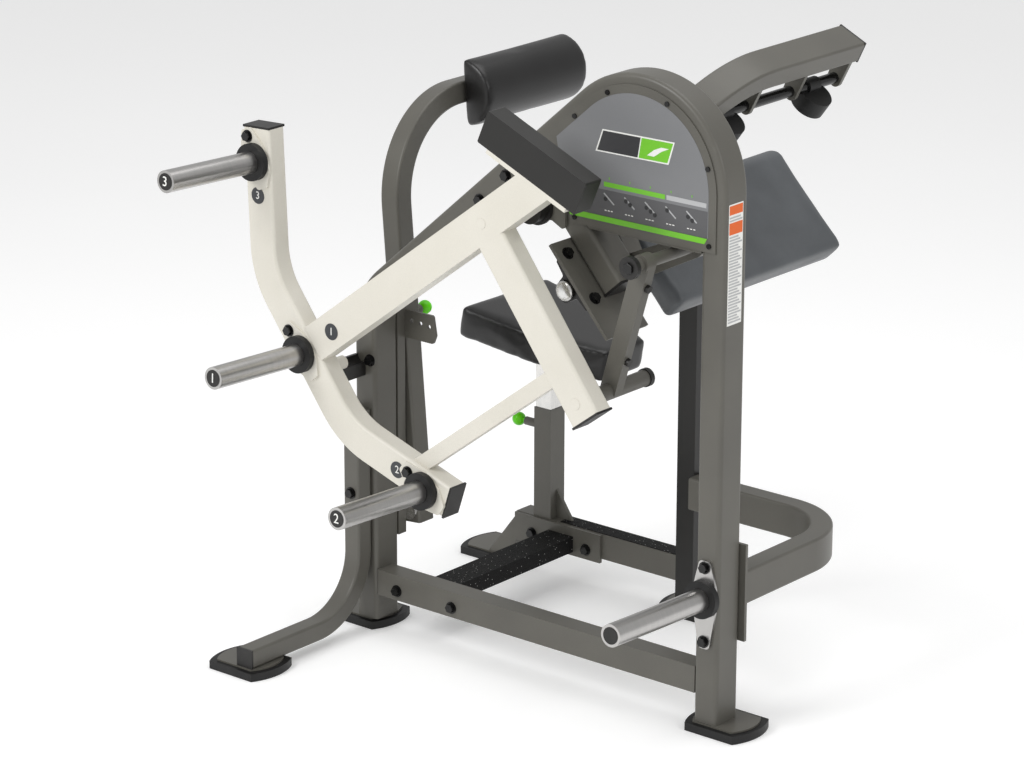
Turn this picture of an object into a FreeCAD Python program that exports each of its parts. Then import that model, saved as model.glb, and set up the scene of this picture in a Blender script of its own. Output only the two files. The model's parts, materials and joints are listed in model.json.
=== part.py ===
import FreeCAD, Part
import math
import os
import Sketcher

# Plate-loaded seated arm machine.  Millimetres.  +Z up, the user faces +X,
# the loading lever stands on the -Y side, the seat on the +Y side.
os.makedirs("parts", exist_ok=True)
doc = FreeCAD.newDocument("seated_arm_machine")
V = FreeCAD.Vector

SIZES = [
    ("frame_tube_width", 60.0), ("frame_tube_depth", 76.0), ("frame_corner", 10.0),
    ("arch_radius", 197.0), ("arch_height", 1167.0), ("upright_x", 510.0),
    ("base_bar_height", 60.0), ("base_bar_depth", 50.0), ("plate_thick", 8.0),
    ("panel_thick", 3.0), ("rubber_thick", 18.0), ("foot_plate_thick", 4.0),
    ("foot_length", 137.0), ("foot_depth", 106.0), ("foot_margin", 12.0),
    ("small_tube", 50.0), ("small_corner", 6.0), ("leg_tube_width", 45.0),
    ("brace_tube_height", 76.0), ("spacer_depth", 25.0), ("adjuster_thick", 6.0),
    ("lever_tube_width", 76.0), ("lever_beam_width", 80.0), ("lever_depth", 50.0),
    ("lever_corner", 8.0), ("lever_brace_width", 35.0), ("lever_brace_depth", 25.0),
    ("counterweight_length", 280.0), ("counterweight_height", 76.0),
    ("horn_radius", 24.5), ("horn_length", 272.0), ("collar_radius", 41.0),
    ("collar_thick", 15.0), ("storage_length", 313.0), ("shaft_radius", 12.5),
    ("arm_shaft_radius", 15.0), ("link_width", 40.0), ("link_depth", 26.0),
    ("arm_tube_width", 76.0), ("arm_tube_depth", 50.0), ("rod_radius", 12.5),
    ("grip_radius", 40.0), ("grip_thick", 40.0), ("crank_plate_thick", 20.0),
    ("seat_thick", 75.0), ("seat_length", 375.0), ("seat_front_width", 146.0),
    ("seat_rear_width", 316.0), ("back_pad_radius", 79.0), ("back_pad_length", 356.0),
    ("arm_pad_thick", 66.0), ("arm_pad_length", 284.0), ("arm_pad_width", 594.0),
    ("sleeve_height", 266.0), ("pin_radius", 5.0), ("knob_radius", 16.0),
    ("bolt_head_height", 8.0), ("bolt_radius", 10.5), ("running_clearance", 0.05),
]

sheet = doc.addObject("Spreadsheet::Sheet", "Sizes")
size = {}
for row, (alias, value) in enumerate(SIZES, start=1):
    sheet.set("A%d" % row, alias)
    sheet.set("B%d" % row, "%g" % value)
    sheet.setAlias("B%d" % row, alias)
    size[alias] = value
doc.recompute()


def val(dim):
    """A dimension given as a sheet alias or as a plain number."""
    return size[dim] if isinstance(dim, str) else dim


def bind(obj, prop, dim):
    """Drives a property from the sheet when the dimension is an alias."""
    if isinstance(dim, str):
        obj.setExpression(prop, "Sizes." + dim)
    else:
        obj.setExpression(prop, "%.4f mm" % dim)


def frame_from(origin, x_dir, y_dir):
    """Placement whose local x and y run along two perpendicular directions."""
    x_dir = V(*x_dir).normalize()
    y_dir = V(*y_dir).normalize()
    z_dir = x_dir.cross(y_dir)
    m = FreeCAD.Matrix(x_dir.x, y_dir.x, z_dir.x, origin[0],
                       x_dir.y, y_dir.y, z_dir.y, origin[1],
                       x_dir.z, y_dir.z, z_dir.z, origin[2],
                       0, 0, 0, 1)
    return FreeCAD.Placement(m)


# ---------------------------------------------------------------- 2-D helpers
def along(p, d, n=0.0):
    """Point a distance n along direction d from p."""
    return (p[0] + d[0] * n, p[1] + d[1] * n)


def offset(p, d, run, e, rise):
    return (p[0] + d[0] * run + e[0] * rise, p[1] + d[1] * run + e[1] * rise)


def cross_point(p, d, q, e):
    """Where the line p + s d meets the line q + t e."""
    det = d[0] * -e[1] + e[0] * d[1]
    s = ((q[0] - p[0]) * -e[1] + e[0] * (q[1] - p[1])) / det
    return (p[0] + s * d[0], p[1] + s * d[1])


def rounded_path(points, radii, closed=False):
    """Lines and arcs through the corner points, each inner corner rounded."""
    count = len(points)
    corners = []
    for i, p in enumerate(points):
        r = radii[i] if isinstance(radii, (list, tuple)) else radii
        if r <= 0 or (not closed and i in (0, count - 1)):
            corners.append((p, None, p))
            continue
        a = points[i - 1]
        b = points[(i + 1) % count]
        u = V(a[0] - p[0], a[1] - p[1], 0).normalize()
        w = V(b[0] - p[0], b[1] - p[1], 0).normalize()
        half = u.getAngle(w) / 2.0
        run = r / math.tan(half)
        mid_dir = (u + w).normalize()
        centre = V(p[0], p[1], 0) + mid_dir * (r / math.sin(half))
        mid = centre - mid_dir * r
        start = (p[0] + u.x * run, p[1] + u.y * run)
        end = (p[0] + w.x * run, p[1] + w.y * run)
        corners.append((start, (mid.x, mid.y), end))
    pieces = []
    last = count if closed else count - 1
    for i in range(count):
        start, mid, end = corners[i]
        if mid is not None:
            pieces.append(Part.Arc(V(*start, 0), V(*mid, 0), V(*end, 0)))
        if i < last:
            nxt = corners[(i + 1) % count][0]
            if math.dist(end, nxt) > 1e-6:
                pieces.append(Part.LineSegment(V(*end, 0), V(*nxt, 0)))
    return pieces


# ---------------------------------------------------------------- solid helpers
NODES = []


def node(obj, name):
    obj.Label = name
    NODES.append((name, obj))
    return obj


def outline_body(name, pieces, depth, role="XZ_Plane", base=(0, 0, 0)):
    """A closed outline padded by one depth; an XZ outline grows towards -Y."""
    body = doc.addObject("PartDesign::Body", name)
    sketch = body.newObject("Sketcher::SketchObject", name + "_outline")
    plane = [f for f in body.Origin.OriginFeatures if f.Role == role][0]
    sketch.AttachmentSupport = [(plane, "")]
    sketch.MapMode = "FlatFace"
    sketch.addGeometry(pieces, False)
    doc.recompute()
    pad = body.newObject("PartDesign::Pad", name + "_pad")
    pad.Profile = sketch
    pad.Length = val(depth)
    bind(pad, "Length", depth)
    body.Tip = pad
    body.Placement.Base = V(*base)
    doc.recompute()
    return body


def slab(name, points, y_back, depth, radii=0.0):
    """A plate or bar with an outline in XZ, its back face at y_back."""
    pieces = rounded_path(points, radii, closed=True)
    return outline_body(name, pieces, depth, base=(0, y_back, 0))


def box(name, low, length, width, height):
    b = doc.addObject("Part::Box", name)
    b.Placement.Base = V(*low)
    for prop, dim in (("Length", length), ("Width", width), ("Height", height)):
        setattr(b, prop, val(dim))
        bind(b, prop, dim)
    return b


def rod(name, base, direction, radius, length):
    c = doc.addObject("Part::Cylinder", name)
    c.Radius = val(radius)
    bind(c, "Radius", radius)
    c.Height = val(length)
    bind(c, "Height", length)
    turn = FreeCAD.Rotation(V(0, 0, 1), V(*direction))
    c.Placement = FreeCAD.Placement(V(*base), turn)
    return c


def rod_y(name, x, z, y_low, y_high, radius):
    return rod(name, (x, y_low, z), (0, 1, 0), radius, y_high - y_low)


def fuse(name, parts):
    f = doc.addObject("Part::MultiFuse", name)
    f.Shapes = parts
    f.Refine = True
    return f


def cut(name, base, tool):
    c = doc.addObject("Part::Cut", name)
    c.Base = base
    c.Tool = tool
    return c


def group(name, parts):
    g = doc.addObject("Part::Compound", name)
    g.Links = parts
    return g


def section_sketch(name, width, depth, corner, place):
    """Rounded rectangle with driven width, depth and corner radius."""
    w = val(width) / 2.0
    d = val(depth) / 2.0
    r = val(corner)
    sk = doc.addObject("Sketcher::SketchObject", name)
    pts = [(-w + r, -d), (w - r, -d), (w, -d + r), (w, d - r),
           (w - r, d), (-w + r, d), (-w, d - r), (-w, -d + r)]
    for i in range(4):
        sk.addGeometry(Part.LineSegment(V(*pts[2 * i], 0), V(*pts[2 * i + 1], 0)), False)
    centres = [(w - r, -d + r), (w - r, d - r), (-w + r, d - r), (-w + r, -d + r)]
    for i, c in enumerate(centres):
        circle = Part.Circle(V(*c, 0), V(0, 0, 1), r)
        a = math.pi / 2.0 * (i - 1)
        sk.addGeometry(Part.ArcOfCircle(circle, a, a + math.pi / 2.0), False)
    for i in range(4):
        sk.addConstraint(Sketcher.Constraint("Tangent", i, 2, 4 + i, 1))
        sk.addConstraint(Sketcher.Constraint("Tangent", 4 + i, 2, (i + 1) % 4, 1))
    for i in (0, 2):
        sk.addConstraint(Sketcher.Constraint("Horizontal", i))
    for i in (1, 3):
        sk.addConstraint(Sketcher.Constraint("Vertical", i))
    for i in (5, 6, 7):
        sk.addConstraint(Sketcher.Constraint("Equal", 4, i))
    sk.addConstraint(Sketcher.Constraint("Symmetric", 4, 3, 6, 3, -1, 1))
    for prop, kind, args, dim in (
            ("wide", "DistanceX", (3, 1, 1, 1), width),
            ("deep", "DistanceY", (0, 1, 2, 1), depth),
            ("corner", "Radius", (4,), corner)):
        sk.addConstraint(Sketcher.Constraint(kind, *args, val(dim)))
        sk.renameConstraint(sk.ConstraintCount - 1, prop)
        bind(sk, "Constraints." + prop, dim)
    sk.Placement = place
    return sk


def tube(name, points, radii, width, depth, corner, origin, u_dir, v_dir):
    """A bar swept along a flat path; width lies in the path's plane."""
    plane = frame_from(origin, u_dir, v_dir)
    spine = doc.addObject("Sketcher::SketchObject", name + "_path")
    spine.addGeometry(rounded_path(points, radii), False)
    spine.Placement = plane
    first = V(points[1][0] - points[0][0], points[1][1] - points[0][1], 0).normalize()
    tangent = plane.Rotation.multVec(first)
    normal = plane.Rotation.multVec(V(0, 0, 1))
    side = normal.cross(tangent)
    start = plane.multVec(V(points[0][0], points[0][1], 0))
    place = frame_from(start, side * -1.0, normal)
    section = section_sketch(name + "_section", width, depth, corner, place)
    doc.recompute()
    sweep = doc.addObject("Part::Sweep", name)
    sweep.Sections = [section]
    edges = ["Edge%d" % (i + 1) for i in range(len(spine.Shape.Edges))]
    sweep.Spine = (spine, edges)
    sweep.Solid = True
    sweep.Frenet = False
    return sweep


XZ = ((1, 0, 0), (0, 0, 1))


def tube_xz(name, points, radii, width, depth, corner, y):
    return tube(name, points, radii, width, depth, corner, (0, y, 0), *XZ)


def bolt(name, base, direction):
    """Washer and hexagon head in one piece, standing on a face."""
    washer = rod(name + "_washer", base, direction, size["bolt_radius"] * 1.3, 2.0)
    head = doc.addObject("Part::Prism", name + "_head")
    head.Polygon = 6
    head.Circumradius = size["bolt_radius"]
    bind(head, "Circumradius", "bolt_radius")
    head.Height = size["bolt_head_height"]
    bind(head, "Height", "bolt_head_height")
    turn = FreeCAD.Rotation(V(0, 0, 1), V(*direction))
    head.Placement = FreeCAD.Placement(V(*base) + V(*direction) * 2.0, turn)
    return fuse(name, [washer, head])


def bolts(name, places, direction):
    return node(group(name, [bolt("%s_%d" % (name, i + 1), p, direction)
                             for i, p in enumerate(places)]), name)


# ---------------------------------------------------------------- positions
clear = size["running_clearance"]
front_face = -169.0
back_face = front_face + size["frame_tube_depth"]
frame_mid = (front_face + back_face) / 2.0
floor_top = size["rubber_thick"] + size["foot_plate_thick"]
arch_r = size["arch_radius"]
arch_c = (size["upright_x"] - arch_r, size["arch_height"])
down_left = (-0.7547, -0.6561)
down_right = (0.6561, -0.7547)
up_right = (0.7547, 0.6561)
sweep_end = math.radians(131.0)
arch_end = (arch_c[0] + arch_r * math.cos(sweep_end), arch_c[1] + arch_r * math.sin(sweep_end))
vertex = along(arch_end, down_left, 830.0)
left_x = vertex[0]
splice = along(arch_end, down_left, 336.0)
crossing = along(arch_end, down_left, 204.0)
lever_front = -362.0
lever_back = lever_front + size["lever_depth"]
lever_mid = (lever_front + lever_back) / 2.0
O1 = (57.0, 1074.0)
beam_dir = (0.8, 0.6)
crank_dir = (0.6, -0.8)
P1 = along(O1, crank_dir, 422.0)
O2 = (167.0, 919.0)
P2 = (395.0, 1028.0)
user_y = 361.0

# ---------------------------------------------------------------- frame tubes
width = size["frame_tube_width"]
half = width / 2.0


def arch_tube():
    """Right upright, arch and the upper half of the slope in one bend."""
    plane = frame_from((0, frame_mid, 0), *XZ)
    spine = doc.addObject("Sketcher::SketchObject", "right_frame_tube_path")
    mid = sweep_end / 2.0
    top = (arch_c[0] + arch_r * math.cos(mid), arch_c[1] + arch_r * math.sin(mid))
    side = (arch_c[0] + arch_r, arch_c[1])
    spine.addGeometry([
        Part.LineSegment(V(side[0], floor_top, 0), V(*side, 0)),
        Part.Arc(V(*side, 0), V(*top, 0), V(*arch_end, 0)),
        Part.LineSegment(V(*arch_end, 0), V(*splice, 0))], False)
    spine.Placement = plane
    place = frame_from((side[0], frame_mid, floor_top), (1, 0, 0), (0, 1, 0))
    section = section_sketch("right_frame_tube_section", "frame_tube_width",
                             "frame_tube_depth", "frame_corner", place)
    doc.recompute()
    sweep = doc.addObject("Part::Sweep", "right_frame_tube")
    sweep.Sections = [section]
    sweep.Spine = (spine, ["Edge1", "Edge2", "Edge3"])
    sweep.Solid = True
    return sweep


node(arch_tube(), "right_frame_tube")
node(tube_xz("left_frame_tube", [splice, vertex, (left_x, floor_top)], 150.0,
             "frame_tube_width", "frame_tube_depth", "frame_corner", frame_mid),
     "left_frame_tube")
leg_start = along(crossing, down_right, half)
leg_end = along(crossing, down_right, 336.0)
node(tube_xz("cross_leg", [leg_start, leg_end], 0, "frame_tube_width", "frame_tube_depth",
             "frame_corner", frame_mid), "cross_leg")

rail_low = 1046.0
rail_high = 1085.0
rail_face = along(crossing, up_right, half)
rail_a = cross_point(rail_face, down_right, (0, rail_high), (1, 0))
rail_b = cross_point(rail_face, down_right, (0, rail_low), (1, 0))
rail_x = size["upright_x"] - half
node(slab("panel_rail", [rail_a, (rail_x, rail_high), (rail_x, rail_low), rail_b],
          front_face + 40.0, 40.0), "panel_rail")

# Information panel: one sheet on the front of the arch.
sheet_r = arch_r + 8.0
edge_top = along(arch_c, (math.cos(sweep_end), math.sin(sweep_end)), sheet_r)
edge_low = along(edge_top, down_left, 140.0)
mid_turn = sweep_end / 2.0
panel_pieces = [
    Part.LineSegment(V(arch_c[0] + sheet_r, 1052, 0), V(arch_c[0] + sheet_r, arch_c[1], 0)),
    Part.Arc(V(arch_c[0] + sheet_r, arch_c[1], 0),
             V(*along(arch_c, (math.cos(mid_turn), math.sin(mid_turn)), sheet_r), 0),
             V(*edge_top, 0)),
    Part.LineSegment(V(*edge_top, 0), V(*edge_low, 0)),
    Part.LineSegment(V(*edge_low, 0), V(edge_low[0], 1196, 0)),
    Part.LineSegment(V(edge_low[0], 1196, 0), V(138, 1104, 0)),
    Part.LineSegment(V(138, 1104, 0), V(138, 1052, 0)),
    Part.LineSegment(V(138, 1052, 0), V(arch_c[0] + sheet_r, 1052, 0))]
node(outline_body("info_panel", panel_pieces, "panel_thick", base=(0, front_face, 0)),
     "info_panel")

# ---------------------------------------------------------------- base
base_low = 82.0
base_h = size["base_bar_height"]
base_top = base_low + base_h
base_front = -166.0
base_back = base_front + size["base_bar_depth"]
node(box("front_base_bar", (left_x + half, base_front, base_low),
         size["upright_x"] - left_x - width, "base_bar_depth", "base_bar_height"),
     "front_base_bar")
step_x = -323.0
step_w = 74.0
small = size["small_tube"]
spine_front = user_y - small / 2.0
spine_plate = 8.0
step_len = spine_front - spine_plate - base_back
node(box("step_bar", (step_x, base_back, base_low), step_w, step_len, 38.0), "step_bar")
post_x = 43.0
post_w = 49.0
spine_left = -424.0
spine_rail = box("spine_rail", (spine_left, spine_front, base_low),
                 post_x - spine_left, "small_tube", "base_bar_height")
spine_foot = slab("spine_foot_leg", [(spine_left, base_top - 8), (-510, floor_top),
                                     (-440, floor_top), (spine_left, base_low)],
                  spine_front + small, "small_tube")
node(fuse("spine_bar", [spine_rail, spine_foot]), "spine_bar")
node(box("spine_end_plate", (spine_left, spine_front - spine_plate, 73.0), 254.0,
         spine_plate, 68.0), "spine_end_plate")

pad_dir = (0.693, -0.72094)
pad_nrm = (0.72094, 0.693)
pad_top = (74.0, 1050.0)
pad_near = 50.0
pad_t = size["arm_pad_thick"]
pad_l = size["arm_pad_length"]
plate_top = offset(pad_top, pad_dir, 0.0, pad_nrm, -pad_t)
plate_under = offset(pad_top, pad_dir, 0.0, pad_nrm, -pad_t - 6.0)
post_a = cross_point(plate_under, pad_dir, (post_x, 0), (0, 1))
post_b = cross_point(plate_under, pad_dir, (post_x + post_w, 0), (0, 1))
post_bar = slab("post_bar", [(post_x, floor_top), (post_x + post_w, floor_top), post_b, post_a],
                spine_front + small, "small_tube")
bracket = [offset(plate_top, pad_dir, s, pad_nrm, o)
           for s, o in ((25.0, 0.0), (200.0, 0.0), (200.0, -6.0), (25.0, -6.0))]
post_plate = slab("post_plate", bracket, user_y + 110.0, 220.0)
node(fuse("rear_post", [post_bar, post_plate]), "rear_post")
pad_quad = [offset(pad_top, pad_dir, s, pad_nrm, o)
            for s, o in ((0.0, 0.0), (pad_l, 0.0), (pad_l, -pad_t), (0.0, -pad_t))]
node(slab("arm_pad", pad_quad, pad_near + size["arm_pad_width"], "arm_pad_width",
          [30.0, 12.0, 8.0, 12.0]), "arm_pad")

# Side brace: runs back from the right upright and turns in to the rear post.
brace_x = 516.0
brace_y = 340.0
brace_z = 268.0 + size["brace_tube_height"] / 2.0
node(tube("side_brace", [(brace_x, back_face + 8.0), (brace_x, brace_y), (post_x + post_w, brace_y)],
          160.0, "small_tube", "brace_tube_height", "small_corner",
          (0, 0, brace_z), (1, 0, 0), (0, 1, 0)), "side_brace")
node(box("side_brace_plate", (480.0, back_face, 194.0), 73.0, "plate_thick", 216.0),
     "side_brace_plate")

# Front left outrigger: stands against the left upright, then turns forward.
out_x = -445.5
out_y = front_face - 25.0
out_z = floor_top + 21.5
node(tube("front_left_leg", [(out_y, 520.0), (out_y, out_z), (-562.0, out_z)], 150.0,
          43.0, "leg_tube_width", "small_corner", (out_x, 0, 0), (0, 1, 0), (0, 0, 1)),
     "front_left_leg")

# ---------------------------------------------------------------- feet
FEET = [(463.0, -172.0), (-550.0, -168.0), (-544.0, -569.0), (-592.0, 335.0), (0.0, 335.0)]
rubbers = []
plates = []
foot_l = size["foot_length"]
foot_d = size["foot_depth"]


def foot_outline(x, y, margin):
    """Straight front and back edges, bulged ends; margin grows it all round."""
    bulge = 18.0
    x_low, x_high = x - margin, x + foot_l + margin
    y_low, y_high = y - margin, y + foot_d + margin
    a, b = V(x_low + bulge, y_low, 0), V(x_high - bulge, y_low, 0)
    c, d = V(x_high - bulge, y_high, 0), V(x_low + bulge, y_high, 0)
    right = V(x_high, y + foot_d / 2.0, 0)
    left = V(x_low, y + foot_d / 2.0, 0)
    return [Part.LineSegment(a, b), Part.Arc(b, right, c), Part.LineSegment(c, d),
            Part.Arc(d, left, a)]


for i, (x, y) in enumerate(FEET):
    rubbers.append(outline_body("rubber_foot_%d" % (i + 1), foot_outline(x, y, size["foot_margin"]),
                                "rubber_thick", "XY_Plane"))
    plates.append(outline_body("foot_plate_%d" % (i + 1), foot_outline(x, y, 0.0),
                               "foot_plate_thick", "XY_Plane", (0, 0, size["rubber_thick"])))
node(group("rubber_feet", rubbers), "rubber_feet")
node(group("foot_plates", plates), "foot_plates")

# ---------------------------------------------------------------- pivots on the frame
node(slab("lever_pivot_plate", [(-50, 1110), (10, 1048), (95, 1048), (130, 1030), (130, 1100),
                                (60, 1190), (0, 1190)], front_face, "plate_thick",
          [8, 8, 4, 8, 8, 12, 12]), "lever_pivot_plate")
plate_front = front_face - size["plate_thick"]
shaft_r = size["shaft_radius"]
housing = rod_y("bearing_housing", O1[0], O1[1], plate_front - 33.0, plate_front - 8.0, 34.0)
flange = rod_y("bearing_flange", O1[0], O1[1], plate_front - 8.0, plate_front, 41.0)
hole = rod_y("bearing_hole", O1[0], O1[1], plate_front - 40.0, plate_front + 1.0, shaft_r + clear)
node(cut("lever_bearing", fuse("bearing_body", [housing, flange]), hole), "lever_bearing")

arm_r = size["arm_shaft_radius"]
seat_face = along(crossing, (-up_right[0], -up_right[1]), half)
block_t = (O2[0] - seat_face[0]) * down_right[0] + (O2[1] - seat_face[1]) * down_right[1]
block_h = -((O2[0] - seat_face[0]) * up_right[0] + (O2[1] - seat_face[1]) * up_right[1])
plate_quad = [offset(seat_face, down_right, s, up_right, -o)
              for s, o in ((194.0, 0.0), (428.0, 0.0), (428.0, 8.0), (194.0, 8.0))]
node(slab("arm_bearing_plate", plate_quad, back_face, 136.0), "arm_bearing_plate")


def pillow_block(name, y_front):
    """Cast bearing block under the slanted plate, bored for the arm shaft."""
    low = block_h + 26.0
    quad = [offset(seat_face, down_right, block_t + s, up_right, -o)
            for s, o in ((-62, 8), (62, 8), (62, 22), (28, 26), (20, low), (-20, low),
                         (-28, 26), (-62, 22))]
    block = slab(name + "_cast", quad, y_front + 35.0, 35.0, [2, 2, 4, 6, 14, 14, 6, 4])
    bore = rod_y(name + "_bore", O2[0], O2[1], y_front - 1.0, y_front + 36.0, arm_r + clear)
    return cut(name, block, bore)


node(group("pillow_blocks", [pillow_block("front_block", -217.0),
                             pillow_block("rear_block", -137.0)]), "pillow_blocks")

cradle = (-447.0, 640.0)
peg_r = 15.0
block = slab("stop_block", [(-472, 594), (-440, 594), (-440, 640), (-472, 640)], front_face,
             81.0, [3, 3, 0, 3])
notch = rod_y("stop_notch", cradle[0], cradle[1], front_face - 90.0, front_face + 1.0, peg_r + 0.3)
node(cut("stop_bracket", block, notch), "stop_bracket")

# ---------------------------------------------------------------- storage horn
store_x = 508.0
store_z = 305.0
store_pts = [(store_x + dx, z) for dx, z in ((-14, 192), (14, 192), (29, 280), (29, 330),
                                             (14, 388), (-14, 388), (-29, 330), (-29, 280))]
storage_plate = slab("storage_plate", store_pts, front_face, 6.0, 10.0)
horn_r = size["horn_radius"]
collar_r = size["collar_radius"]


def horn(name, x, z, y_face, length, tilt_deg):
    """Sleeve and rubber collar on one slightly raised axis.

    The collar sits on a thinner root, so plates stop against its face.
    """
    tilt = math.radians(tilt_deg)
    d = (0.0, -math.cos(tilt), math.sin(tilt))
    low = horn_r * math.sin(tilt) + 0.05
    start = V(x, y_face, z) + V(*d) * low
    lift = collar_r * math.sin(tilt) + 0.05
    root_run = lift - low + size["collar_thick"] + 0.5
    root_r = horn_r - 1.0
    root = rod(name + "_root", start, d, root_r, root_run)
    free = rod(name + "_free", start + V(*d) * root_run, d, "horn_radius", val(length) - root_run)
    sleeve = fuse(name + "_sleeve", [root, free])
    base = V(x, y_face, z) + V(*d) * lift
    ring = rod(name + "_ring", base, d, "collar_radius", "collar_thick")
    hole_c = rod(name + "_ring_hole", base - V(*d), d, root_r + 0.05, 30.0)
    collar = cut(name + "_collar", ring, hole_c)
    plug = rod(name + "_plug", start + V(*d) * val(length), d, horn_r - 6.0, 1.0)
    return sleeve, collar, plug


sleeve, collar, plug = horn("storage", store_x, store_z, front_face - 6.0, "storage_length", 2.1)
weld_root = rod("storage_weld", (store_x, front_face - 3.0, store_z), (0, -1, 0), horn_r - 2.0, 8.0)
node(fuse("storage_horn", [storage_plate, weld_root, sleeve]), "storage_horn")
node(collar, "storage_collar")
storage_plug = plug

# ---------------------------------------------------------------- loading lever
lw = size["lever_tube_width"]
arc_pts = [(-577.0, 1171.0), (-563.0, 847.0), (-329.0, 535.0), (-41.7, 440.5)]
node(tube_xz("lever_arc_tube", arc_pts, 200.0, "lever_tube_width", "lever_depth",
             "lever_corner", lever_mid), "lever_arc_tube")


def unit(p, q):
    d = math.dist(p, q)
    return ((q[0] - p[0]) / d, (q[1] - p[1]) / d)


def cap(name, end, d, w, depth_size, y, thick=5.0):
    """Flat end cap continuing a bar past its end."""
    n = (-d[1], d[0])
    quad = [offset(end, d, s, n, o) for s, o in ((0, -w / 2), (thick, -w / 2), (thick, w / 2),
                                                 (0, w / 2))]
    return slab(name, quad, y + depth_size / 2.0, depth_size)


ld = size["lever_depth"]
tube_dir = unit(arc_pts[1], arc_pts[2])
tube_nrm = (-tube_dir[1], tube_dir[0])
cw_dir = (0.919, -0.394)
cw_nrm = (0.394, 0.919)
flange_c = (175.0, 1186.0)
bw = size["lever_beam_width"] / 2.0
tube_face = along(arc_pts[1], tube_nrm, lw / 2.0)
mitre = along(flange_c, cw_nrm, -5.0)
beam_n = (-beam_dir[1], beam_dir[0])
beam_pts = []
for side in (1.0, -1.0):
    line = along(O1, beam_n, side * bw)
    ends = [cross_point(line, beam_dir, tube_face, tube_dir),
            cross_point(line, beam_dir, mitre, cw_dir)]
    beam_pts += ends if side > 0 else ends[::-1]
beam_bar = slab("beam_bar", beam_pts, lever_back, "lever_depth")
flange_quad = [offset(flange_c, cw_dir, s, cw_nrm, o)
               for s, o in ((-113, -5), (113, -5), (113, 5), (-113, 5))]
beam_flange = slab("beam_flange", flange_quad, lever_back, "lever_depth")
node(fuse("lever_beam", [beam_bar, beam_flange]), "lever_beam")
cw_l = size["counterweight_length"] / 2.0
cw_h = size["counterweight_height"]
cw_quad = [offset(flange_c, cw_dir, s, cw_nrm, o)
           for s, o in ((-cw_l - 2, 5), (cw_l - 2, 5), (cw_l - 2, 5 + cw_h), (-cw_l - 2, 5 + cw_h))]
node(slab("counterweight", cw_quad, lever_back, "lever_depth", 4.0), "counterweight")
crank_start = along(O1, crank_dir, bw)
crank_end = along(O1, crank_dir, 460.0)
node(tube_xz("lever_crank", [crank_start, crank_end], 0, "lever_beam_width", "lever_depth",
             "lever_corner", lever_mid), "lever_crank")

low_dir = unit(arc_pts[2], arc_pts[3])
low_nrm = (-low_dir[1], low_dir[0])
low_face = along(arc_pts[2], low_nrm, lw / 2.0)
crank_face = along(O1, beam_dir, -bw)
brace_a = (-122.0, 505.0)
brace_dir = unit(brace_a, (238.0, 775.0))
brace_n = (-brace_dir[1], brace_dir[0])
brace_pts = []
for side in (1.0, -1.0):
    line = along(brace_a, brace_n, side * size["lever_brace_width"] / 2.0)
    ends = [cross_point(line, brace_dir, low_face, low_dir),
            cross_point(line, brace_dir, crank_face, crank_dir)]
    brace_pts += ends if side > 0 else ends[::-1]
node(slab("lever_brace", brace_pts, lever_mid + size["lever_brace_depth"] / 2.0,
          "lever_brace_depth"), "lever_brace")
top_dir = unit(arc_pts[1], arc_pts[0])
lever_caps = [cap("arc_top_cap", arc_pts[0], top_dir, lw, ld, lever_mid),
              cap("arc_low_cap", arc_pts[3], low_dir, lw, ld, lever_mid),
              cap("crank_cap", crank_end, crank_dir, 2 * bw, ld, lever_mid)]
shaft_o1 = rod_y("lever_shaft", O1[0], O1[1], lever_back, plate_front - 0.5, "shaft_radius")
pin_p1 = rod_y("link_pin", P1[0], P1[1], lever_back, -141.0, "shaft_radius")
node(group("lever_pins", [shaft_o1, pin_p1]), "lever_pins")
node(rod_y("stop_peg", cradle[0], cradle[1], lever_back, front_face - 66.0, peg_r), "stop_peg")

# Each horn's flange reaches to its one bolt, at the end towards the tube's top.
HORNS = [((-576.0, 1099.0), (-0.35, 0.93675), 57.0), ((-449.0, 691.0), (-0.6, 0.8), 57.0),
         ((-100.0, 457.0), (-0.81, 0.58643), 53.0)]
FLANGE = [(-62, -14), (-26, -34), (26, -34), (74, -13), (74, 13), (26, 34), (-26, 34), (-62, 14)]
flanges = []
sleeves = []
collars = []
plugs = []
horn_bolts = []
for i, (c, d, bolt_at) in enumerate(HORNS):
    n = (-d[1], d[0])
    quad = [offset(c, d, s, n, o) for s, o in FLANGE]
    tag = "horn_%d" % (i + 1)
    flanges.append(slab(tag + "_flange", quad[::-1], lever_front, 6.0, 8.0))
    s, r, p = horn(tag, c[0], c[1], lever_front - 6.0, "horn_length", 2.3)
    sleeves.append(s)
    collars.append(r)
    plugs.append(p)
    q = along(c, d, bolt_at)
    horn_bolts.append((q[0], lever_front - 6.0, q[1]))
node(group("horn_flanges", flanges), "horn_flanges")
node(group("horn_sleeves", sleeves), "horn_sleeves")
node(group("horn_collars", collars), "horn_collars")
node(group("lever_end_caps", lever_caps + plugs), "lever_end_caps")
bolts("horn_bolts", horn_bolts, (0, -1, 0))

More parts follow.
